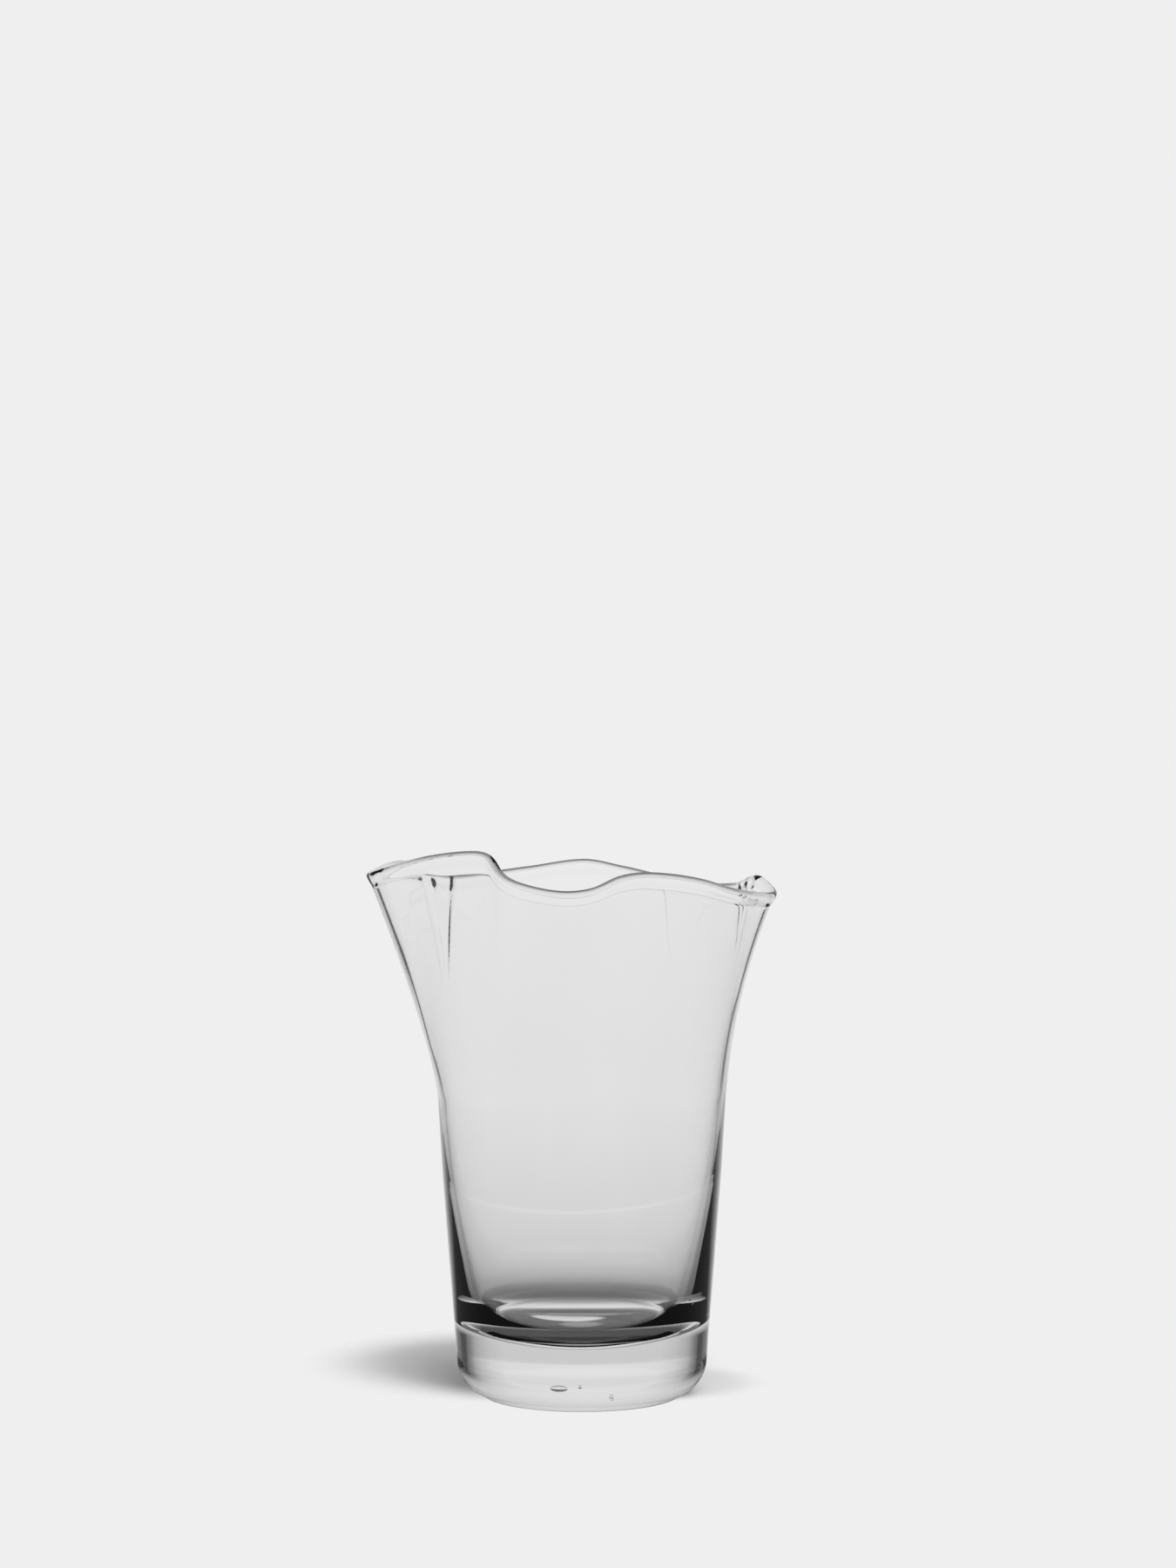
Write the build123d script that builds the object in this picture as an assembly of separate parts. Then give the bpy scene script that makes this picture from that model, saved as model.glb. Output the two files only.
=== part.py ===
from build123d import *
import math
import os

# Fan vase of clear hand-blown glass, in millimetres. The origin is the middle of the
# flat foot, +Z is up, the longer side fan points to -X and the front of the mouth to -Y.
# Two gathers of glass and the fire-polished lip are the three solids.

# Outside of the thick base and the straight tapered body
body_radius = 36.3
body_growth_share = 0.0757
heel_radius = 11.0

# Casing of the second gather, thin at its upper edge
casing_height = 60.0
casing_edge = 0.4
casing_fade_share = 1.3

# Inside of the bowl
floor_height = 18.0
bubble_floor = 4.0
corner_radius = 10.5
corner_turn = 75.0
wall = 2.3
base_swell = 6.0
bore_shift = 0.5

# Fanned mouth
flare_height = 88.0
vase_height = 161.5
fan_reach = 61.3
flare_bend_share = 1.65
flare_bend_swing_share = 0.35

# Fire-polished lip
lip_height = 5.5
lip_thickness = 3.4

# Pleats pressed into the back of the mouth
pleat_depth = 7.4
pleat_width = 5.2
pleat_drop = 36.0
pleat_curl_share = 0.9
pleat_taper_share = 0.35

# Rim as seen from above: azimuth in degrees, then reach from the axis as a share of
# fan_reach and height as a share of vase_height
rim_shares = (
    (0, 0.904, 0.911),
    (10, 0.846, 0.933),
    (22, 0.798, 0.914),
    (36, 0.746, 0.908),
    (54, 0.712, 0.914),
    (74, 0.702, 0.930),
    (89, 0.710, 0.941),
    (110, 0.732, 0.929),
    (132, 0.776, 0.920),
    (147, 0.824, 0.924),
    (163, 0.878, 0.955),
    (171, 0.932, 0.955),
    (179, 1.000, 0.943),
    (186, 0.950, 0.954),
    (194, 0.860, 0.971),
    (206, 0.775, 0.988),
    (222, 0.702, 1.000),
    (231, 0.670, 0.996),
    (239, 0.733, 0.968),
    (247, 0.742, 0.953),
    (262, 0.740, 0.940),
    (273, 0.732, 0.944),
    (284, 0.695, 0.963),
    (294, 0.675, 0.968),
    (307, 0.695, 0.963),
    (321, 0.722, 0.950),
    (335, 0.764, 0.930),
    (348, 0.832, 0.916),
)

# Pleats: azimuth in degrees, then depth, width and drop as shares of the pleat sizes
pleat_shares = (
    (17, 0.75, 0.90, 0.60),
    (54, 0.80, 0.90, 0.60),
    (147, 1.00, 1.00, 1.00),
)

# Where the sections lie along each stretch of the wall, as shares of that stretch
corner_level_shares = (0.0, 0.17, 0.33, 0.5, 0.67, 0.83, 1.0)
thick_level_shares = (0.15, 0.35, 0.65, 1.0)
fan_level_shares = (0.15, 0.3, 0.44, 0.55, 0.65, 0.73, 0.8, 0.87, 0.93, 1.0)
lip_side_shares = (0.5, 1.0)
lip_round_shares = (0.25, 0.5, 0.75)

# Widest plain arc of a section in degrees, and the steps along each arc
plain_arc = 45
plain_steps = 9
pleat_steps = 12


def taper(height):
    """Outside radius of the straight tapered body."""
    return body_radius + body_growth_share * (height - heel_radius)


def rim_curve(azimuth, column):
    """Smooth closed curve through one column of the rim table."""
    azimuth = azimuth % 360
    count = len(rim_shares)
    after = next((row for row in range(count) if rim_shares[row][0] > azimuth), count)
    places = []
    for step in (-2, -1, 0, 1):
        turns, row = divmod(after + step, count)
        places.append((rim_shares[row][0] + 360 * turns, rim_shares[row][column]))
    (a0, v0), (a1, v1), (a2, v2), (a3, v3) = places
    span = a2 - a1
    t = (azimuth - a1) / span
    slope1 = span * (v2 - v0) / (a2 - a0)
    slope2 = span * (v3 - v1) / (a3 - a1)
    start = (1 - t) ** 2 * ((1 + 2 * t) * v1 + t * slope1)
    end = t ** 2 * ((3 - 2 * t) * v2 + (t - 1) * slope2)
    return start + end


def rim_reach(azimuth):
    return fan_reach * rim_curve(azimuth, 1)


def fan_height(azimuth):
    """Height of the fanned wall from the flare to the crest of the lip."""
    return vase_height * rim_curve(azimuth, 2) - flare_height


def middle(azimuth, level):
    """Middle of the fanned glass, with level 0 at the flare and 1 at the crest."""
    rise = fan_height(azimuth) * level
    below = fan_height(azimuth) - rise
    half_in = casing_edge + wall / 2
    reach = rim_reach(azimuth)
    stretch = reach + half_in - taper(flare_height + fan_height(azimuth))
    bend = flare_bend_share - flare_bend_swing_share * math.cos(math.radians(azimuth - 180))
    radius = taper(flare_height + rise) - half_in + stretch * level ** bend
    turn = math.radians(azimuth)
    for place, depth, width, drop in pleat_shares:
        fade = 1 - below / (pleat_drop * drop)
        if fade > 0:
            half = math.degrees(pleat_width * width * fade ** pleat_taper_share / reach)
            offset = ((azimuth - place + 180) % 360 - 180) / half
            if abs(offset) < 1:
                radius -= pleat_depth * depth * fade * (1 + math.cos(math.pi * offset)) / 2
                curl = pleat_curl_share * fade * math.sin(2 * math.pi * offset) / (2 * math.pi)
                turn += math.radians(half) * curl
    return Vector(radius * math.cos(turn), radius * math.sin(turn), flare_height + rise)


def outward(azimuth, level):
    """Level direction square to the fanned wall."""
    nudge = 0.05
    along = middle(azimuth + nudge, level) - middle(azimuth - nudge, level)
    return Vector(along.Y, -along.X, 0).normalized()


def spread(start, end, steps):
    """Azimuths in even steps from the start up to the last step before the end."""
    return [start + (end - start) * step / steps for step in range(steps)]


def section_arcs():
    """Azimuths of the section points, arc by arc: one arc across each pleat and plain ones between."""
    halves = [math.degrees(pleat_width * width / rim_reach(place)) for place, depth, width, drop in pleat_shares]
    lefts = [row[0] - half for row, half in zip(pleat_shares, halves)]
    rights = [row[0] + half for row, half in zip(pleat_shares, halves)]
    arcs = []
    for left, right, following in zip(lefts, rights, lefts[1:] + [lefts[0] + 360]):
        arcs.append(spread(left, right, pleat_steps))
        cuts = spread(right, following, math.ceil((following - right) / plain_arc))
        arcs += [spread(cut, after, plain_steps) for cut, after in zip(cuts, cuts[1:] + [following])]
    return arcs


arcs = section_arcs()
azimuths = [azimuth for arc in arcs for azimuth in arc]


def heading(before, here, after):
    """Direction of a smooth curve at the second of three points."""
    arrive = here - before
    leave = after - here
    turned = arrive * (leave.length / arrive.length) + leave * (arrive.length / leave.length)
    return turned.normalized()


def ring(points):
    """Closed smooth section, arc by arc, through points in the order of the azimuths."""
    edges = []
    start = 0
    for arc in arcs:
        end = start + len(arc)
        run = [points[place % len(points)] for place in range(start - 1, end + 2)]
        tangents = [heading(*run[:3]), heading(*run[-3:])]
        edges.append(Edge.make_spline(run[1:-1], tangents, scale=False))
        start = end
    return Wire(edges)


def circle_ring(radius, height, shift=0):
    turns = [math.radians(azimuth) for azimuth in azimuths]
    return ring([Vector(radius * math.cos(t) - shift, radius * math.sin(t), height) for t in turns])


def skin(sections):
    """Faces from each section to the next."""
    return Shell.make_loft(sections, ruled=True).faces()


def fan_ring(side, share):
    """Section of the fanned wall: side +1 is the outside, -1 the inside."""
    points = []
    for azimuth in azimuths:
        level = share * (1 - lip_height / fan_height(azimuth))
        point = middle(azimuth, level) + outward(azimuth, level) * (side * wall / 2)
        if side < 0:
            point -= Vector(bore_shift * (1 - share), 0, 0)
        points.append(point)
    return ring(points)


def lip_ring(half_thickness, drop, side):
    """Section of the lip at a distance below its crest."""
    points = []
    for azimuth in azimuths:
        level = 1 - drop / fan_height(azimuth)
        points.append(middle(azimuth, level) + outward(azimuth, level) * (side * half_thickness))
    return ring(points)


def lip_side(side, seat, crest):
    """Sections up one side of the lip, from its seat over the round to the crest."""
    half_round = lip_thickness / 2
    sections = [seat]
    for share in lip_side_shares:
        half = wall / 2 + (half_round - wall / 2) * math.sin(math.pi / 2 * share)
        sections.append(lip_ring(half, lip_height + (half_round - lip_height) * share, side))
    for share in lip_round_shares:
        lean = math.pi / 2 * share
        sections.append(lip_ring(half_round * math.cos(lean), half_round * (1 - math.sin(lean)), side))
    return sections + [crest]


# Where the cavity's floor corner ends and the thick wall starts
corner_end = math.radians(corner_turn)
corner_top = floor_height + corner_radius * (1 - math.cos(corner_end))


def cavity_radius(height):
    swell = base_swell * ((flare_height - height) / (flare_height - corner_top)) ** 2
    return taper(height) - casing_edge - wall - swell


floor_radius = cavity_radius(corner_top) - corner_radius * math.sin(corner_end)


def corner_ring(radius, share, shift):
    """Section of a rounded corner round the edge of the cavity's flat floor."""
    lean = corner_end * share
    height = floor_height + corner_radius - radius * math.cos(lean)
    return circle_ring(floor_radius + radius * math.sin(lean), height, shift)


# Cavity from its flat floor up to the lip
cavity = [corner_ring(corner_radius, share, bore_shift) for share in corner_level_shares]
for share in thick_level_shares:
    height = corner_top + (flare_height - corner_top) * share
    cavity.append(circle_ring(cavity_radius(height), height, bore_shift))
cavity += [fan_ring(-1, share) for share in fan_level_shares]

# Meeting face of the two gathers, from the bubble's flat bottom to the casing's edge
bubble_radius = corner_radius + bubble_floor
bubble_top = floor_height + corner_radius - bubble_radius * math.cos(corner_end)
casing_at_bottom = taper(bubble_top) - floor_radius - bubble_radius * math.sin(corner_end)
meeting = [corner_ring(bubble_radius, share, 0) for share in corner_level_shares]
for share in thick_level_shares:
    height = bubble_top + (casing_height - bubble_top) * share
    casing = casing_edge + (casing_at_bottom - casing_edge) * (1 - share) ** casing_fade_share
    meeting.append(circle_ring(taper(height) - casing, height))

# Bare outside of the bowl, straight from the casing's edge to the flare and fanned above
outside = [meeting[-1], circle_ring(taper(flare_height) - casing_edge, flare_height)]
outside += [fan_ring(1, share) for share in fan_level_shares]

# First gather: the blown bubble with its fanned and pleated mouth
meeting_skin = skin(meeting)
lip_seat = skin([outside[-1], cavity[-1]])
bowl_faces = meeting_skin + skin(outside) + lip_seat + skin(cavity)
blown_bowl = Solid(Shell(bowl_faces + [Face(cavity[0]), Face(meeting[0])]))

# Second gather: the heavy foot and the casing round the bubble
with BuildPart() as foot:
    with BuildSketch(Plane.XZ):
        with BuildLine():
            heel = CenterArc((body_radius - heel_radius, heel_radius), heel_radius, 270, 90)
            casing_rim = (taper(casing_height), casing_height)
            Polyline(heel @ 1, casing_rim, (0, casing_height), (0, 0), heel @ 0)
        make_face()
    revolve(axis=Axis.Z)
foot_faces = foot.faces().sort_by(Axis.Z)
casing_top = Face(foot_faces[-1].outer_wire(), [meeting[-1]])
base_faces = foot_faces[:-1] + meeting_skin + [casing_top, Face(meeting[0])]
heavy_base = Solid(Shell(base_faces))

# Fire-polished lip along the wavy mouth
crest = ring([middle(azimuth, 1) for azimuth in azimuths])
lip_faces = skin(lip_side(1, outside[-1], crest)) + skin(lip_side(-1, cavity[-1], crest))
rim_bead = Solid(Shell(lip_seat + lip_faces))

os.makedirs("parts", exist_ok=True)
nodes = {"blown_bowl": blown_bowl, "heavy_base": heavy_base, "rim_bead": rim_bead}
for name, solid in nodes.items():
    export_step(solid, f"parts/{name}.step")
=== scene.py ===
import math

import bpy
import numpy as np
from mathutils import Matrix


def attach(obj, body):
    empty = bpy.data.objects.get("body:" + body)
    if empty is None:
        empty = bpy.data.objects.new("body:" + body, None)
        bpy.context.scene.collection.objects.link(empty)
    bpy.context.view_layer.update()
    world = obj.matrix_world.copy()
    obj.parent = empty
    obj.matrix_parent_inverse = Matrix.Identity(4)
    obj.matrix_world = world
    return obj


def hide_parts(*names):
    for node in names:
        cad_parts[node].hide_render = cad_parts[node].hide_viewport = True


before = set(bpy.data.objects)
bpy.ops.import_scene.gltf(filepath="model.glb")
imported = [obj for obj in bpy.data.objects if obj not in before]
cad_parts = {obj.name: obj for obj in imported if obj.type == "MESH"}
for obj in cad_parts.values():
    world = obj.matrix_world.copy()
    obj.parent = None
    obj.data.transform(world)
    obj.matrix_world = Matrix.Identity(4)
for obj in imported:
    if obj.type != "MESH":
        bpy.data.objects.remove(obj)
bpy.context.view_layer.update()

# Fan vase of clear hand-blown glass. The shape is worked out in millimetres, in the frame of the
# solids, and turned into metres where the mesh is made. Azimuths are in degrees from +X towards +Y.
MM = 0.001
GLASS_NODES = ("blown_bowl", "heavy_base", "rim_bead")

# Outside of the thick base and the straight tapered body
BODY_RADIUS = 36.3
BODY_GROWTH = 0.0757
STRAIGHT_START = 14.0
HEEL_RADIUS = 11.0
HEEL_TURN = math.radians(60)
HEEL_ROWS = 15
FOOT_EDGE = 0.3
FOOT_SHARES = (0.25, 0.5, 0.75, 0.9)

# Edge of the casing: it tilts round the whole body and has a fine ledge at the front, where the
# ledge fades out between the two values of LEDGE_FADE, with 1 straight in front and 0 at the sides
CASING_HEIGHT = 65.5
CASING_EDGE = 0.4
CASING_TILT = 6.0
CASING_TILT_WAY = math.radians(80)
CASING_TILT_REACH = 14.0
CASING_LEDGE = 0.2
LEDGE_FADE = (0.5, 0.9)
LEDGE_SOFTNESS = 0.22
LEDGE_CLEARANCE = 4.0
LEDGE_ROWS = np.array((-2, -1.2, -0.8, -0.5, -0.25, 0, 0.25, 0.5, 0.8, 1.2, 2))
ROWS_BELOW_LEDGE = 12
ROWS_ABOVE_LEDGE = 8

# Inside of the bowl
FLOOR_HEIGHT = 16.4
DISH_RADIUS = 21.4
DISH_DEPTH = 3.2
DISH_ROWS = 14
CORNER_TOP = 31.0
CORNER_ROWS = 20
SWELL_BOTTOM = 25.8
BASE_SWELL = 6.0
WALL = 1.6
WALL_ROWS = 20
BORE_SHIFT = 0.5

# Fanned mouth and its fire-polished lip
FLARE_HEIGHT = 88.0
VASE_HEIGHT = 161.5
FAN_REACH = 61.3
FAN_ROWS = 38
FLARE_BEND = 1.65
FLARE_BEND_SWING = 0.35
LIP_HEIGHT = 5.0
LIP_THICKNESS = 2.7
LIP_STEPS = 7
LIP_ROUND_STEPS = 8

# Pleats pressed into the back of the mouth
PLEAT_DEPTH = 1.5
PLEAT_WIDTH = 6.3
PLEAT_DROP = 24.0
PLEAT_TIP_SHARE = 0.1
PLEAT_FADE = 1.3
PLEAT_FLAT_SHARE = 0.45
PLEAT_LEAN = 5.0
LEAST_FADE = 1e-6

# Columns of the mesh, in degrees
COLUMN_STEP = 1.2
CLOSE_STEP = 0.35
FAN_END_SPAN = 10
PLEAT_COLUMNS = 31
LEAST_COLUMN_GAP = 0.4

# Rim from above: azimuth, reach as a share of FAN_REACH, height as a share of VASE_HEIGHT
RIM_SHARES = np.array((
    (0, 0.904, 0.911), (10, 0.846, 0.933), (22, 0.798, 0.914), (36, 0.746, 0.908),
    (54, 0.712, 0.914), (74, 0.702, 0.930), (89, 0.710, 0.941), (110, 0.732, 0.929),
    (132, 0.776, 0.920), (147, 0.824, 0.924), (163, 0.878, 0.955), (171, 0.932, 0.955),
    (179, 1.000, 0.943), (186, 0.950, 0.954), (194, 0.860, 0.971), (206, 0.775, 0.988),
    (222, 0.702, 1.000), (231, 0.684, 0.996), (239, 0.718, 0.968), (247, 0.738, 0.953),
    (262, 0.740, 0.940), (273, 0.732, 0.944), (284, 0.695, 0.963), (294, 0.675, 0.968),
    (307, 0.695, 0.963), (321, 0.722, 0.950), (335, 0.764, 0.930), (348, 0.832, 0.916),
))

# Pleats: azimuth, then depth, width and drop as shares of the pleat sizes
PLEAT_SHARES = (
    (17, 0.20, 0.60, 1.10),
    (54, 0.25, 0.35, 1.30),
    (147, 1.00, 1.10, 1.50),
)

# Seeds, the small air bubbles caught in the glass: place and half sizes
SEEDS = (
    ((-6.3, -31.0, 7.9), (2.4, 0.25, 0.85)),
    ((-0.5, -31.0, 8.4), (0.45, 0.12, 0.45)),
    ((8.2, -31.0, 5.7), (0.6, 0.15, 0.6)),
    ((8.6, -31.0, 4.7), (0.4, 0.1, 0.4)),
    ((30.5, -8.0, 3.5), (0.8, 0.8, 0.6)),
    ((34.4, -6.0, 24.5), (0.5, 0.5, 0.5)),
)
SEED_DETAIL = 4

# Clear glass and its faint streaks
GLASS_IOR = 1.5
STRIAE_STRETCH = (1.0, 1.0, 0.25)
STRIAE_SCALE = 60.0
STRIAE_DETAIL = 2.0
STRIAE_TONES = ((0.0, 0.97), (1.0, 1.0))
SHADE_TONES = ((0.2, 0.03), (0.5, 0.9))

# Painted shade at the glass edge: dark lines and bands in the base colour where the sight runs along
# inside the wall. Each set of tones runs from well inside the bore's outline (0) over that
# outline (0.667) to the outline of the glass (1). The lip's run from square on (0) to edge on (1).
EDGE_SPAN = (-2.0, 1.0)
FAN_EDGE = ((0.0, 0.98), (0.333, 0.95), (0.467, 0.9), (0.59, 0.78), (0.635, 0.2), (0.66, 0.02),
            (0.72, 0.03), (0.77, 0.4), (0.85, 0.85), (1.0, 1.0))
THIN_WALL = ((0.0, 1.0), (0.5, 0.97), (0.61, 0.9), (0.65, 0.55), (0.68, 0.55), (0.72, 0.95), (1.0, 1.0))
THICK_WALL = ((0.0, 1.0), (0.5, 0.96), (0.61, 0.9), (0.65, 0.45), (0.68, 0.45), (0.72, 0.95), (1.0, 1.0))
CORNER = ((0.0, 1.0), (0.6, 0.9), (0.667, 0.7), (0.72, 1.0), (1.0, 1.0))
SOLID_BASE = ((0.0, 0.9), (0.45, 0.86), (0.618, 0.68), (0.713, 0.5), (0.77, 0.36), (0.828, 0.13),
              (0.887, 0.01), (0.928, 0.01), (0.971, 0.1), (1.0, 0.3))
CLEAR = ((0.0, 1.0), (1.0, 0.95))
LIP = ((0.0, 1.0), (0.35, 0.95), (0.55, 0.55), (0.7, 0.15), (1.0, 0.08))

# Heights at which the wall has each set of painted shade tones, from the top down
EDGE_ZONES = (
    (96.0, FAN_EDGE), (80.0, THIN_WALL), (62.0, THIN_WALL), (52.0, THICK_WALL), (36.0, THICK_WALL),
    (28.0, CORNER), (23.0, CORNER), (20.0, SOLID_BASE), (9.0, SOLID_BASE), (4.0, CLEAR),
)

# What the mesh stores for those painted shade tones. Where there is no bore to see, its share is almost 1.
# The seeds take half of the lip's painted shade.
LEAST_BORE_SHARE = 0.75
NO_BORE_SHARE = 0.9995
PLEATED_FROM = 0.05
LIP_RISE_ROWS = 4
LIP_END_CLEARANCE = 8
LIP_END_FADE = 16
SEED_LIP_SHARE = 0.5

# Stage, in metres where nothing else is said
WHITE = (1, 1, 1, 1)
BACKDROP_TONE = 0.863
DOME_TONES = ((0.15, BACKDROP_TONE), (0.5, 0.7), (0.9, 0.25))
MIRRORED_ROOM = ((0.70, 0.15), (0.90, 1.0))
FILL_LIGHT = 0.134
SOFTBOX_FOCUS = 12.0
SOFTBOXES = (((0.38, -0.73, 0.57), 8.3), ((-0.60, -0.53, 0.60), 1.5))
SHADES = (((-0.02, 0.050, 0.0), 0.034, 0.066), ((0.024, 0.020, 0.0), 0.018, 0.032))
FLOOR_SIZE = 30.0
FLOOR_GAP = 0.0002
FIRST_BOUNCE = 0.5

# Floor as the glass shows it, with a painted shadow: distance from the vase's axis in millimetres
# and tone, and one painted bright patch of gathered light
FLOOR_DIM_REACH = 1400.0
FLOOR_DIM_TONES = (
    (0, 0.3), (6, 0.3), (9, 0.04), (21, 0.04), (24, 0.1), (33, 0.1), (36, 0.4), (37.5, 1.0), (39, 1.0),
    (41, 0.5), (42, 0.25), (44, 0.15), (48, 0.16), (55, 0.22), (65, 0.36), (80, 0.53), (100, 0.65),
    (140, 0.78), (200, 0.82), (300, 0.86), (550, 0.94), (FLOOR_DIM_REACH, 1.0),
)
GATHERED_PLACE = (-0.005, 0.015, 0.0)
GATHERED_REACH = (0.016, 0.008, 1.0)
GATHERED_EDGE = (1.0, 0.7)

# Camera at the photograph's angle. The elevation is seen from the foot.
EYE_DISTANCE = 1.840
EYE_ELEVATION = math.radians(10.6)
EYE_PITCH = math.radians(5.07)
EYE_SIDE_STEP = 0.00178
EYE_REACH = 100.0
LENS = 144.6
SENSOR = 36.0


# Shape of the glass

def taper(height):
    """Outside radius of the straight tapered body."""
    return BODY_RADIUS + BODY_GROWTH * (height - HEEL_RADIUS)


def rim_curve(azimuth, column):
    """Smooth closed curve through one column of the rim table."""
    table = RIM_SHARES
    places = np.concatenate([table[-2:, 0] - 360, table[:, 0], table[:2, 0] + 360])
    values = np.concatenate([table[-2:, column], table[:, column], table[:2, column]])
    slopes = np.zeros(len(values))
    slopes[1:-1] = (values[2:] - values[:-2]) / (places[2:] - places[:-2])
    azimuth = azimuth % 360
    row = np.searchsorted(places, azimuth, side="right") - 1
    span = places[row + 1] - places[row]
    t = (azimuth - places[row]) / span
    start = (1 - t) ** 2 * ((1 + 2 * t) * values[row] + t * span * slopes[row])
    end = t ** 2 * ((3 - 2 * t) * values[row + 1] + (t - 1) * span * slopes[row + 1])
    return start + end


def rim_reach(azimuth):
    """Distance of the rim from the axis."""
    return FAN_REACH * rim_curve(azimuth, 1)


def fan_height(azimuth):
    """Height of the fanned wall from the flare to the crest of the lip."""
    return VASE_HEIGHT * rim_curve(azimuth, 2) - FLARE_HEIGHT


def plain_radius(azimuth, level):
    """Radius of the fanned wall without its pleats, with level 0 at the flare and 1 at the crest."""
    height = fan_height(azimuth)
    half_in = CASING_EDGE + WALL / 2
    stretch = rim_reach(azimuth) + half_in - taper(FLARE_HEIGHT + height)
    bend = FLARE_BEND - FLARE_BEND_SWING * np.cos(np.radians(azimuth - 180))
    return taper(FLARE_HEIGHT + height * level) - half_in + stretch * np.maximum(level, 0) ** bend


def middle(azimuth, level):
    """Middle of the fanned glass without its pleats."""
    turn = np.radians(azimuth)
    radius = plain_radius(azimuth, level)
    height = FLARE_HEIGHT + fan_height(azimuth) * level
    return np.stack([radius * np.cos(turn), radius * np.sin(turn), height], axis=-1)


def pleat_depth(azimuth, level):
    """How far the pleats press the wall in: flat-bottomed funnels, narrow and shallow at the low end."""
    below = fan_height(azimuth) * (1 - level)
    depth = np.zeros(len(azimuth))
    for place, deep, width, drop in PLEAT_SHARES:
        fade = np.maximum(1 - below / (PLEAT_DROP * drop), LEAST_FADE)
        narrowing = PLEAT_TIP_SHARE + (1 - PLEAT_TIP_SHARE) * fade
        half = np.degrees(PLEAT_WIDTH * width * narrowing / rim_reach(azimuth))
        leant = place - PLEAT_LEAN * math.cos(math.radians(place)) * (1 - fade)
        beside = np.abs((azimuth - leant + 180) % 360 - 180) / half
        flank = np.clip((1 - beside) / (1 - PLEAT_FLAT_SHARE), 0, 1)
        depth += PLEAT_DEPTH * deep * fade ** PLEAT_FADE * flank ** 2 * (3 - 2 * flank)
    return depth


def outward(azimuth, level):
    """Level direction square to the fanned wall."""
    nudge = 0.05
    along = middle(azimuth + nudge, level) - middle(azimuth - nudge, level)
    out = np.stack([along[:, 1], -along[:, 0], np.zeros(len(along))], axis=-1)
    return out / np.linalg.norm(out, axis=1, keepdims=True)


def pleated(azimuth, level, offset):
    """Point of the pleated wall at an offset from its middle."""
    pressed = (offset - pleat_depth(azimuth, level))[:, None]
    return middle(azimuth, level) + outward(azimuth, level) * pressed


def roundness(azimuth, level):
    """How strongly the plain fanned wall curves round, seen from above."""
    nudge = 10.0
    before, here, after = (plain_radius(azimuth + step, level) for step in (-nudge, 0, nudge))
    slope = (after - before) / (2 * math.radians(nudge))
    change = (after - 2 * here + before) / math.radians(nudge) ** 2
    return (here ** 2 + 2 * slope ** 2 - here * change) / (here ** 2 + slope ** 2) ** 1.5


def stations():
    """Azimuths of the mesh columns, close together across each pleat and at both ends of the fan."""
    close = [np.arange(-FAN_END_SPAN, FAN_END_SPAN, CLOSE_STEP) % 360]
    close.append(np.arange(180 - FAN_END_SPAN, 180 + FAN_END_SPAN, CLOSE_STEP))
    for place, _, width, _ in PLEAT_SHARES:
        half = math.degrees(PLEAT_WIDTH * width / rim_reach(np.array(float(place))))
        close.append(place + half * np.linspace(-1, 1, PLEAT_COLUMNS))
    close = np.concatenate(close)
    lone = []
    for azimuth in np.arange(0, 360, COLUMN_STEP):
        if np.abs((close - azimuth + 180) % 360 - 180).min() > LEAST_COLUMN_GAP:
            lone.append(azimuth)
    return np.unique(np.round(np.concatenate([close, lone]), 4))


AZIMUTHS = stations()
TURNS = np.radians(AZIMUTHS)
FAN_SHARES = np.linspace(0, 1, FAN_ROWS + 1)[1:]
DISH_SHARES = np.linspace(0, 1, DISH_ROWS + 1)[1:]


def circle_row(radius, height, shift=0.0):
    """Row of the mesh round the axis. Radius and height may differ from column to column."""
    x = radius * np.cos(TURNS) - shift
    y = radius * np.sin(TURNS)
    return np.stack([x, y, np.zeros(len(TURNS)) + height], axis=-1)


def cavity_radius(height):
    """Inside radius below the flare, where the wall swells towards the base."""
    swell = BASE_SWELL * ((FLARE_HEIGHT - height) / (FLARE_HEIGHT - SWELL_BOTTOM)) ** 2
    return taper(height) - CASING_EDGE - WALL - swell


def foot_rows():
    """Flat foot, its bevelled edge and the round heel, up to the straight wall."""
    centre = BODY_RADIUS - HEEL_RADIUS
    bevel = HEEL_RADIUS * (1 - math.sin(HEEL_TURN))
    flat = centre + HEEL_RADIUS * math.cos(HEEL_TURN) - bevel * math.tan(HEEL_TURN)
    rows = [circle_row(flat * share, 0.0) for share in FOOT_SHARES]
    rows += [circle_row(flat - FOOT_EDGE, 0.0), circle_row(flat, 0.0)]
    rows.append(circle_row(flat + FOOT_EDGE, FOOT_EDGE / math.tan(HEEL_TURN)))
    for turn in np.linspace(-HEEL_TURN, -math.atan(BODY_GROWTH), HEEL_ROWS):
        radius = centre + HEEL_RADIUS * math.cos(turn)
        rows.append(circle_row(radius, HEEL_RADIUS * (1 + math.sin(turn))))
    return rows


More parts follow.
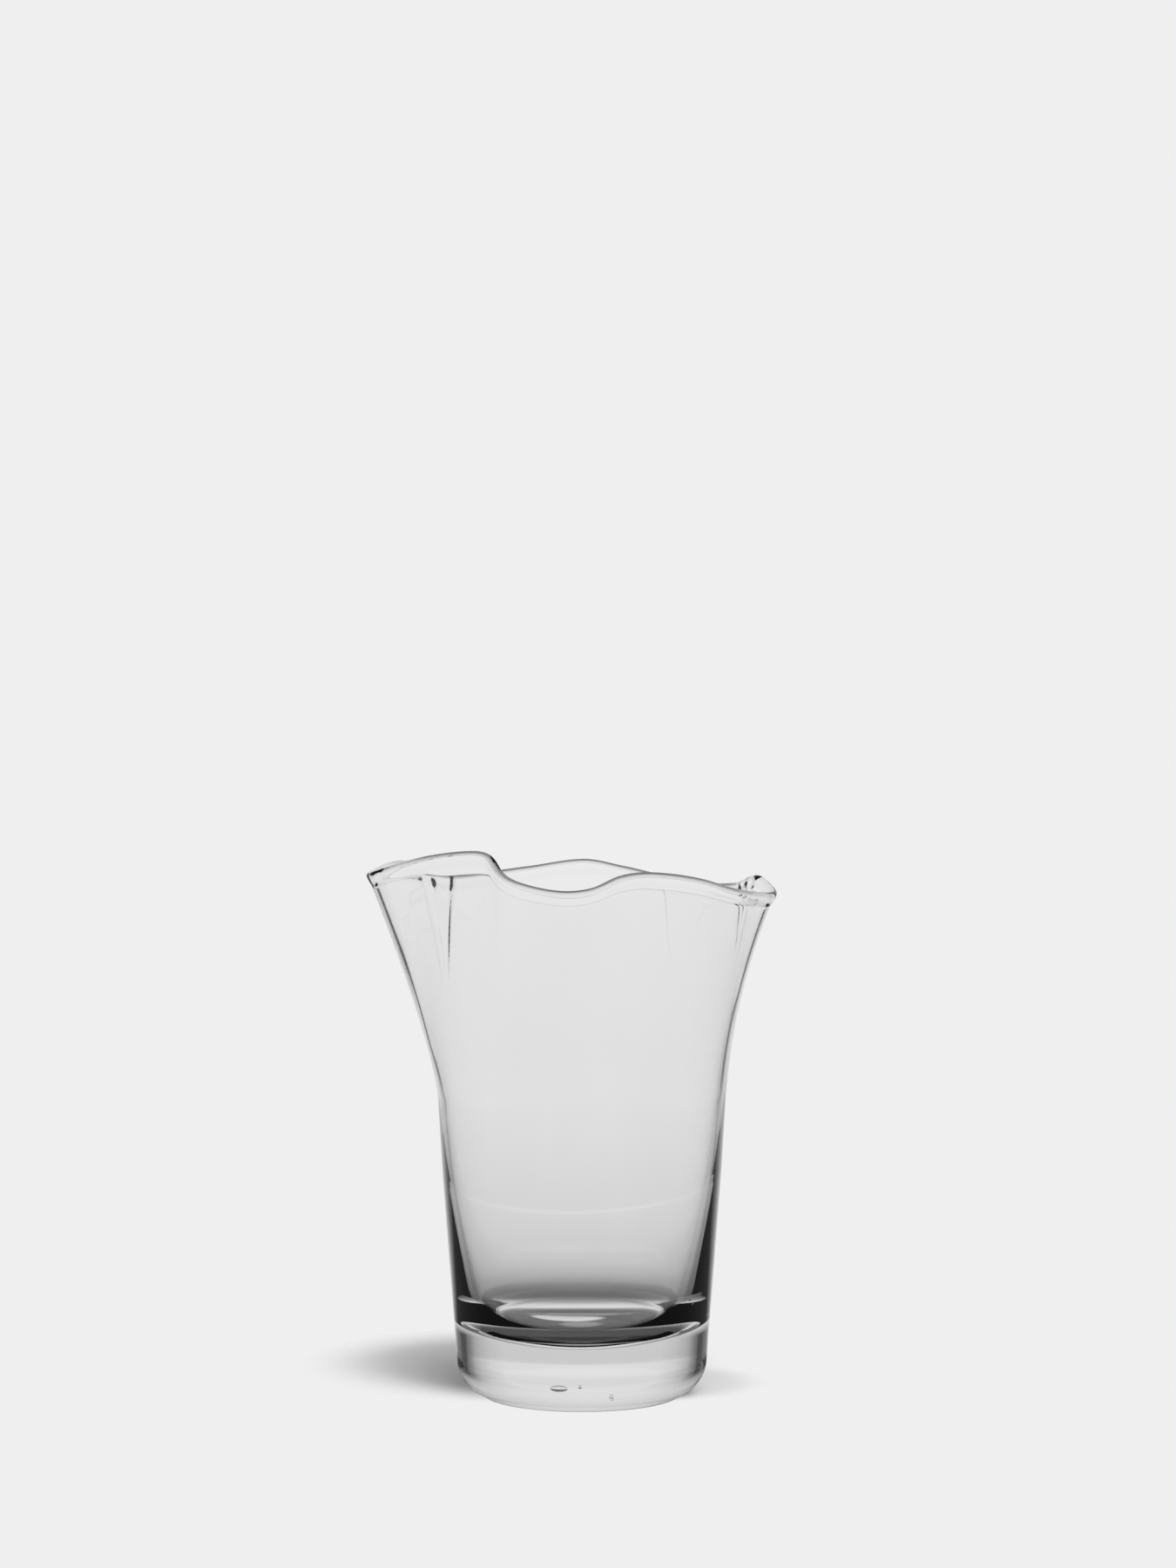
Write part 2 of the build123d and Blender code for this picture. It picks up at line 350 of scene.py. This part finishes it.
def body_rows():
    """Straight outside wall, with the faint ledge where the casing ends."""
    rows = []
    tilt = CASING_TILT * np.cos(TURNS - CASING_TILT_WAY)
    front = np.interp(-np.sin(TURNS), LEDGE_FADE, (0, 1))
    below = np.linspace(STRAIGHT_START, CASING_HEIGHT - LEDGE_CLEARANCE, ROWS_BELOW_LEDGE)
    above = np.linspace(CASING_HEIGHT + LEDGE_CLEARANCE, FLARE_HEIGHT, ROWS_ABOVE_LEDGE)
    for height in np.concatenate([below, CASING_HEIGHT + LEDGE_ROWS, above]):
        past = height - CASING_HEIGHT
        near = math.exp(-(past / CASING_TILT_REACH) ** 2)
        step = CASING_LEDGE * front / (1 + math.exp(-past / LEDGE_SOFTNESS))
        thinning = np.clip(past / (FLARE_HEIGHT - CASING_HEIGHT), 0, 1)
        fade = (CASING_EDGE + CASING_LEDGE * front) * thinning
        rows.append(circle_row(taper(height + tilt * near) + step - fade, height + tilt * near))
    return rows


def fan_rows(side):
    """Fanned wall from the flare to the seat of the lip: side +1 is the outside, -1 the inside."""
    rows = []
    for share in FAN_SHARES:
        level = share * (1 - LIP_HEIGHT / fan_height(AZIMUTHS))
        row = pleated(AZIMUTHS, level, side * WALL / 2)
        if side < 0:
            row[:, 0] -= BORE_SHIFT * (1 - share)
        rows.append(row)
    return rows


def lip_rows(side):
    """One side of the lip, from its seat over the round to just short of the crest."""
    half_round = LIP_THICKNESS / 2
    rows = []
    for share in np.linspace(0, 1, LIP_STEPS + 1)[1:]:
        half = WALL / 2 + (half_round - WALL / 2) * math.sin(math.pi / 2 * share) ** 2
        level = 1 - (LIP_HEIGHT + (half_round - LIP_HEIGHT) * share) / fan_height(AZIMUTHS)
        rows.append(pleated(AZIMUTHS, level, side * half))
    for lean in np.linspace(0, math.pi / 2, LIP_ROUND_STEPS + 1)[1:-1]:
        level = 1 - half_round * (1 - math.sin(lean)) / fan_height(AZIMUTHS)
        rows.append(pleated(AZIMUTHS, level, side * half_round * math.cos(lean)))
    return rows


def cavity_rows():
    """Inside of the bowl: dished floor, round corner and the wall up to the flare."""
    rows = []
    for share in DISH_SHARES:
        height = FLOOR_HEIGHT + DISH_DEPTH * share ** 2
        rows.append(circle_row(DISH_RADIUS * share, height, BORE_SHIFT))
    start = np.array((DISH_RADIUS, FLOOR_HEIGHT + DISH_DEPTH))
    end = np.array((cavity_radius(CORNER_TOP), CORNER_TOP))
    floor_slope = 2 * DISH_DEPTH / DISH_RADIUS
    nudge = 0.5
    wall_slope = (cavity_radius(CORNER_TOP + nudge) - cavity_radius(CORNER_TOP - nudge)) / (2 * nudge)
    ahead = (end[0] - start[0] - wall_slope * (end[1] - start[1])) / (1 - wall_slope * floor_slope)
    knee = start + ahead * np.array((1, floor_slope))
    for t in np.linspace(0, 1, CORNER_ROWS + 1)[1:]:
        radius, height = (1 - t) ** 2 * start + 2 * t * (1 - t) * knee + t ** 2 * end
        rows.append(circle_row(radius, height, BORE_SHIFT))
    for height in np.linspace(CORNER_TOP, FLARE_HEIGHT, WALL_ROWS + 1)[1:]:
        rows.append(circle_row(cavity_radius(height), height, BORE_SHIFT))
    return rows


def rim_to_rim_rows():
    """All rows of the skin: foot, outside, lip, inside and floor."""
    crest = pleated(AZIMUTHS, np.ones(len(AZIMUTHS)), 0.0)
    outside = foot_rows() + body_rows() + fan_rows(1) + lip_rows(1)
    inside = cavity_rows() + fan_rows(-1) + lip_rows(-1)
    return outside + [crest] + inside[::-1]


def vase_skin():
    """Closed skin of the glass as vertices and faces."""
    rows = rim_to_rim_rows()
    around = len(AZIMUTHS)
    column = np.arange(around)
    after = (column + 1) % around
    faces = []
    for low in range(len(rows) - 1):
        base, top = low * around, (low + 1) * around
        faces += np.stack([base + column, base + after, top + after, top + column], axis=-1).tolist()
    foot_middle = len(rows) * around
    floor_middle = foot_middle + 1
    last = (len(rows) - 1) * around
    faces += [(foot_middle, int(b), int(a)) for a, b in zip(column, after)]
    faces += [(floor_middle, int(last + a), int(last + b)) for a, b in zip(column, after)]
    poles = [[0, 0, 0], [-BORE_SHIFT, 0, FLOOR_HEIGHT]]
    points = np.concatenate(rows + [np.array(poles, float)])
    return points, faces


def bore_shares(count):
    """Radius of the bore as a share of the outside radius, for each point of the outside."""
    shares = []
    for row in foot_rows() + body_rows():
        height = np.clip(row[:, 2], SWELL_BOTTOM, FLARE_HEIGHT)
        shares.append(cavity_radius(height) / taper(height))
    for share in FAN_SHARES:
        level = share * (1 - LIP_HEIGHT / fan_height(AZIMUTHS))
        plain = pleat_depth(AZIMUTHS, level) < PLEATED_FROM
        shares.append(np.where(plain, 1 - WALL * roundness(AZIMUTHS, level), NO_BORE_SHARE))
    shares = np.clip(np.concatenate(shares), LEAST_BORE_SHARE, NO_BORE_SHARE)
    return np.concatenate([shares, np.full(count - len(shares), NO_BORE_SHARE)])


def lip_shares(count):
    """How strongly each point takes the lip's painted shade: most along the crest, less at the fan's ends."""
    around = len(AZIMUTHS)
    first = len(foot_rows() + body_rows()) + len(FAN_SHARES)
    rise = np.clip((np.arange(1, len(lip_rows(1)) + 1) - LIP_STEPS) / LIP_RISE_ROWS, 0, 1)
    end_angle = np.degrees(np.arcsin(np.abs(np.sin(TURNS))))
    from_ends = np.clip((end_angle - LIP_END_CLEARANCE) / LIP_END_FADE, 0, 1)
    skin = np.zeros(len(rim_to_rim_rows()) * around + 2)
    both = np.outer(np.concatenate([rise, [1], rise[::-1]]), from_ends).ravel()
    skin[first * around:first * around + len(both)] = both
    return np.concatenate([skin, np.full(count - len(skin), SEED_LIP_SHARE)])


# Nodes

def node(tree, kind, inputs=None, **settings):
    """New node of a tree. An input is given a plain value, or another node's output to link to it."""
    made = tree.nodes.new(kind)
    for name, value in settings.items():
        setattr(made, name, value)
    for socket, value in (inputs or {}).items():
        if isinstance(value, bpy.types.NodeSocket):
            tree.links.new(value, made.inputs[socket])
        else:
            made.inputs[socket].default_value = value
    return made


def math_node(tree, operation, first, second=0.0):
    """Number worked out from one or two others."""
    return node(tree, "ShaderNodeMath", {0: first, 1: second}, operation=operation).outputs["Value"]


def vector_node(tree, operation, first, second=(0.0, 0.0, 0.0)):
    """Number worked out from one or two vectors."""
    made = node(tree, "ShaderNodeVectorMath", {0: first, 1: second}, operation=operation)
    return made.outputs["Value"]


def map_range(tree, value, start, end, **settings):
    """Value turned into a share: 0 at the start and 1 at the end."""
    span = {"Value": value, "From Min": start, "From Max": end}
    return node(tree, "ShaderNodeMapRange", span, **settings).outputs["Result"]


def attribute(tree, name):
    """Number that the mesh stores under this name."""
    return node(tree, "ShaderNodeAttribute", attribute_name=name).outputs["Fac"]


def mix(tree, share, first, second, **settings):
    """Mix of two colours: the first alone at share 0."""
    given = {0: share, 6: first, 7: second}
    return node(tree, "ShaderNodeMix", given, data_type="RGBA", **settings).outputs[2]


def grey(tone):
    """Plain grey of this tone."""
    return (tone, tone, tone, 1)


def ramp(tree, value, stops):
    """Colour ramp of grey stops, each a place and a tone."""
    made = node(tree, "ShaderNodeValToRGB", {"Fac": value})
    elements = made.color_ramp.elements
    while len(elements) < len(stops):
        elements.new(1.0)
    for element, (place, tone) in zip(elements, stops):
        element.position = place
        element.color = grey(tone)
    return made.outputs["Color"]


# Finishes

def striae_tones(tree, place):
    """Faint streaks in the glass, drawn out upwards."""
    stretched = node(tree, "ShaderNodeMapping", {"Vector": place, "Scale": STRIAE_STRETCH}).outputs["Vector"]
    noise = {"Vector": stretched, "Scale": STRIAE_SCALE, "Detail": STRIAE_DETAIL}
    return ramp(tree, node(tree, "ShaderNodeTexNoise", noise).outputs["Fac"], STRIAE_TONES)


def painted_edge_shade(tree, height):
    """Painted shade of the wall and the lip, by how far out from the bore the sight meets the glass."""
    facing = node(tree, "ShaderNodeLayerWeight", {"Blend": 0.5}).outputs["Facing"]
    square_on = math_node(tree, "SUBTRACT", 1.0, facing)
    slant_squared = math_node(tree, "SUBTRACT", 1.0, math_node(tree, "POWER", square_on, 2.0))
    slant = math_node(tree, "SQRT", slant_squared)
    bore = attribute(tree, "bore_share")
    past_bore = math_node(tree, "SUBTRACT", slant, bore)
    wall_share = math_node(tree, "DIVIDE", past_bore, math_node(tree, "SUBTRACT", 1.0, bore))
    across = map_range(tree, wall_share, *EDGE_SPAN)
    upper, tones = EDGE_ZONES[0]
    edge = ramp(tree, across, tones)
    for lower, tones in EDGE_ZONES[1:]:
        down = map_range(tree, height, upper * MM, lower * MM, interpolation_type="SMOOTHSTEP")
        edge = mix(tree, down, edge, ramp(tree, across, tones))
        upper = lower
    return mix(tree, attribute(tree, "lip_share"), edge, ramp(tree, slant, LIP))


def clear_glass():
    """Clear smooth glass with painted shade where the sight runs along inside the wall. Its shadow is paler
    higher up.
    """
    material = bpy.data.materials.new("clear_glass")
    material.use_nodes = True
    tree = material.node_tree
    glass = tree.nodes["Principled BSDF"]
    glass.inputs["Metallic"].default_value = 0.0
    glass.inputs["Roughness"].default_value = 0.0
    glass.inputs["Transmission Weight"].default_value = 1.0
    glass.inputs["IOR"].default_value = GLASS_IOR
    place = node(tree, "ShaderNodeTexCoord").outputs["Object"]
    height = node(tree, "ShaderNodeSeparateXYZ", {"Vector": place}).outputs["Z"]
    # Base colour: painted shade along the glass edges, times faint streaks in the glass
    painted_shade_and_striae = mix(tree, 1.0, painted_edge_shade(tree, height), striae_tones(tree, place), blend_type="MULTIPLY")
    path = node(tree, "ShaderNodeLightPath").outputs
    lighting = math_node(tree, "GREATER_THAN", path["Diffuse Depth"], FIRST_BOUNCE)
    shade = ramp(tree, math_node(tree, "DIVIDE", height, VASE_HEIGHT * MM), SHADE_TONES)
    tree.links.new(mix(tree, lighting, painted_shade_and_striae, shade), glass.inputs["Base Color"])
    return material


def sight(tree):
    """Masks of what the eye sees through the glass, and of what it sees by the glass in any way.

    The second one holds the first, so what is seen through is mixed in after what is mirrored.
    """
    path = node(tree, "ShaderNodeLightPath").outputs
    from_eye = math_node(tree, "LESS_THAN", path["Diffuse Depth"], FIRST_BOUNCE)
    inside = math_node(tree, "GREATER_THAN", path["Transmission Depth"], FIRST_BOUNCE)
    mirrored_inside = math_node(tree, "MULTIPLY", path["Is Glossy Ray"], inside)
    bent = math_node(tree, "MAXIMUM", path["Is Transmission Ray"], mirrored_inside)
    through = math_node(tree, "MULTIPLY", bent, from_eye)
    mirrored = math_node(tree, "MULTIPLY", path["Is Glossy Ray"], from_eye)
    return through, mirrored


def clear_of_shades(tree, place):
    """0 in the middle of the vase's soft shadows and 1 outside them."""
    clear = 1.0
    for shade_middle, full, end in SHADES:
        away = vector_node(tree, "DISTANCE", place, shade_middle)
        outside = map_range(tree, away, full, end, interpolation_type="SMOOTHSTEP")
        clear = math_node(tree, "MULTIPLY", outside, clear)
    return clear


def floor_through_glass(tree, place, distance):
    """Floor as the glass shows it: a painted shadow, dimmer close to the vase, with a painted patch of
    gathered light.
    """
    outward_share = math_node(tree, "SQRT", math_node(tree, "DIVIDE", distance, FLOOR_DIM_REACH * MM))
    stops = [(math.sqrt(away / FLOOR_DIM_REACH), tone) for away, tone in FLOOR_DIM_TONES]
    patch = {"Vector": place, "Location": GATHERED_PLACE, "Scale": GATHERED_REACH}
    from_patch = node(tree, "ShaderNodeMapping", patch, vector_type="TEXTURE").outputs["Vector"]
    patch_share = vector_node(tree, "LENGTH", from_patch)
    gathered = map_range(tree, patch_share, *GATHERED_EDGE, interpolation_type="SMOOTHSTEP")
    return mix(tree, gathered, ramp(tree, outward_share, stops), WHITE)


def pale_floor():
    """Plain pale paper that keeps the vase's shadows and runs out into the backdrop's tone. In the glass it
    shows a painted shadow, a painted pool of light and a painted dark reflection.
    """
    material = bpy.data.materials.new("pale_floor")
    material.use_nodes = True
    tree = material.node_tree
    tree.nodes.clear()
    place = node(tree, "ShaderNodeTexCoord").outputs["Object"]
    distance = vector_node(tree, "LENGTH", place)
    depth = node(tree, "ShaderNodeSeparateXYZ", {"Vector": place}).outputs["Y"]
    through, mirrored = sight(tree)
    # Painted reflection: as mirrored in the glass the floor is dark everywhere but straight behind the vase
    room = ramp(tree, math_node(tree, "DIVIDE", depth, distance), MIRRORED_ROOM)
    dim = mix(tree, mirrored, WHITE, room)
    # Painted shadow and painted pool of light on the floor as seen through the glass
    dim = mix(tree, through, dim, floor_through_glass(tree, place, distance))
    colour = mix(tree, 1.0, dim, grey(BACKDROP_TONE), blend_type="MULTIPLY")
    paper = node(tree, "ShaderNodeBsdfDiffuse", {"Color": colour}).outputs["BSDF"]
    even = node(tree, "ShaderNodeEmission", {"Color": colour}).outputs["Emission"]
    by_glass = math_node(tree, "MAXIMUM", through, mirrored)
    plain = math_node(tree, "MAXIMUM", clear_of_shades(tree, place), by_glass)
    surface = node(tree, "ShaderNodeMixShader", {0: plain, 1: paper, 2: even}).outputs["Shader"]
    node(tree, "ShaderNodeOutputMaterial", {"Surface": surface})
    return material


# Pieces

def seed_tree():
    """Geometry Nodes tree that puts a hollow ball at each place, stretched to the half sizes stored there."""
    tree = bpy.data.node_groups.new("seed_bubbles", "GeometryNodeTree")
    tree.interface.new_socket("Places", in_out="INPUT", socket_type="NodeSocketGeometry")
    tree.interface.new_socket("Ball Detail", in_out="INPUT", socket_type="NodeSocketInt")
    tree.interface.new_socket("Glass", in_out="INPUT", socket_type="NodeSocketMaterial")
    tree.interface.new_socket("Bubbles", in_out="OUTPUT", socket_type="NodeSocketGeometry")
    given = node(tree, "NodeGroupInput").outputs
    ball = node(tree, "GeometryNodeMeshIcoSphere", {"Radius": 1.0, "Subdivisions": given["Ball Detail"]})
    size = node(tree, "GeometryNodeInputNamedAttribute", {"Name": "half_size"}, data_type="FLOAT_VECTOR")
    balls = {"Points": given["Places"], "Instance": ball.outputs["Mesh"], "Scale": size.outputs["Attribute"]}
    placed = node(tree, "GeometryNodeInstanceOnPoints", balls).outputs["Instances"]
    real = node(tree, "GeometryNodeRealizeInstances", {"Geometry": placed}).outputs["Geometry"]
    hollow = node(tree, "GeometryNodeFlipFaces", {"Mesh": real}).outputs["Mesh"]
    finish = {"Geometry": hollow, "Material": given["Glass"]}
    finished = node(tree, "GeometryNodeSetMaterial", finish).outputs["Geometry"]
    node(tree, "NodeGroupOutput", {"Bubbles": finished})
    return tree


def seed_skin(glass):
    """Vertices and faces of the seeds, in metres."""
    places = bpy.data.meshes.new("seed_places")
    places.from_pydata([np.array(place) * MM for place, half in SEEDS], [], [])
    sizes = np.array([half for place, half in SEEDS]) * MM
    stored = places.attributes.new("half_size", "FLOAT_VECTOR", "POINT")
    stored.data.foreach_set("vector", sizes.astype(np.float32).ravel())
    holder = bpy.data.objects.new("seed_places", places)
    bpy.context.scene.collection.objects.link(holder)
    bubbles = holder.modifiers.new("seed_bubbles", "NODES")
    bubbles.node_group = seed_tree()
    sockets = {socket.name: socket.identifier for socket in bubbles.node_group.interface.items_tree}
    bubbles[sockets["Ball Detail"]] = SEED_DETAIL
    bubbles[sockets["Glass"]] = glass
    graph = bpy.context.evaluated_depsgraph_get()
    made = bpy.data.meshes.new_from_object(holder.evaluated_get(graph), depsgraph=graph)
    points = np.array([tuple(vertex.co) for vertex in made.vertices])
    faces = [tuple(face.vertices) for face in made.polygons]
    holder.modifiers.clear()
    bpy.data.objects.remove(holder)
    bpy.data.meshes.remove(made)
    return points, faces


def make_vase():
    """Glass of the whole vase as one closed skin, with the seeds inside it."""
    glass = clear_glass()
    points, faces = vase_skin()
    seed_points, seed_faces = seed_skin(glass)
    faces += [tuple(corner + len(points) for corner in face) for face in seed_faces]
    points = np.concatenate([points, seed_points / MM])
    mesh = bpy.data.meshes.new("vase_glass")
    mesh.from_pydata((points * MM).tolist(), [], faces)
    mesh.shade_smooth()
    stored = {"bore_share": bore_shares(len(points)), "lip_share": lip_shares(len(points))}
    for name, values in stored.items():
        mesh.attributes.new(name, "FLOAT", "POINT").data.foreach_set("value", values.astype(np.float32))
    vase = bpy.data.objects.new("vase_glass", mesh)
    bpy.context.scene.collection.objects.link(vase)
    mesh.materials.append(glass)
    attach(vase, "root")
    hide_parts(*GLASS_NODES)


# Stage

def make_floor():
    """Wide level sheet just under the foot."""
    half = FLOOR_SIZE / 2
    mesh = bpy.data.meshes.new("floor")
    corners = [(x * half, y * half, -FLOOR_GAP) for x, y in ((-1, -1), (1, -1), (1, 1), (-1, 1))]
    mesh.from_pydata(corners, [], [(0, 1, 2, 3)])
    floor = bpy.data.objects.new("floor", mesh)
    bpy.context.scene.collection.objects.link(floor)
    mesh.materials.append(pale_floor())


def background(tree, colour, strength=1.0):
    """Light of one colour from all round."""
    return node(tree, "ShaderNodeBackground", {"Color": colour, "Strength": strength}).outputs["Background"]


def make_light():
    """Room light with softboxes at both front corners. Glass shows a bright room that is dim overhead."""
    world = bpy.data.worlds.new("studio")
    bpy.context.scene.world = world
    world.use_nodes = True
    tree = world.node_tree
    tree.nodes.clear()
    way = node(tree, "ShaderNodeTexCoord").outputs["Generated"]
    parts = node(tree, "ShaderNodeSeparateXYZ", {"Vector": way}).outputs
    light = FILL_LIGHT
    for softbox_way, strength in SOFTBOXES:
        towards = vector_node(tree, "DOT_PRODUCT", way, softbox_way)
        lobe = math_node(tree, "POWER", math_node(tree, "MAXIMUM", towards, 0.0), SOFTBOX_FOCUS)
        light = math_node(tree, "ADD", math_node(tree, "MULTIPLY", lobe, strength), light)
    fill = background(tree, WHITE, light)
    room = background(tree, ramp(tree, parts["Y"], MIRRORED_ROOM), BACKDROP_TONE)
    studio = background(tree, ramp(tree, parts["Z"], DOME_TONES))
    backdrop = background(tree, grey(BACKDROP_TONE))
    through, mirrored = sight(tree)
    camera_ray = node(tree, "ShaderNodeLightPath").outputs["Is Camera Ray"]
    seen = fill
    for share, shown in ((mirrored, room), (through, studio), (camera_ray, backdrop)):
        seen = node(tree, "ShaderNodeMixShader", {0: share, 1: seen, 2: shown}).outputs["Shader"]
    node(tree, "ShaderNodeOutputWorld", {"Surface": seen})


def make_camera():
    """Camera in front of the vase, looking a little down."""
    camera = bpy.data.cameras.new("camera")
    camera.sensor_width = SENSOR
    camera.lens = LENS
    camera.clip_end = EYE_REACH
    eye = bpy.data.objects.new("camera", camera)
    away, up = EYE_DISTANCE * math.cos(EYE_ELEVATION), EYE_DISTANCE * math.sin(EYE_ELEVATION)
    eye.location = (EYE_SIDE_STEP, -away, up)
    eye.rotation_euler = (math.pi / 2 - EYE_PITCH, 0, 0)
    bpy.context.scene.collection.objects.link(eye)
    bpy.context.scene.camera = eye


make_vase()
make_floor()
make_light()
make_camera()

# Sight that is mirrored more than twice inside the glass stays black
scene = bpy.context.scene
scene.view_settings.view_transform = "Standard"
scene.cycles.max_bounces = 32
scene.cycles.transmission_bounces = 32
scene.cycles.glossy_bounces = 2
scene.cycles.blur_glossy = 0.0
scene.cycles.use_denoising = True
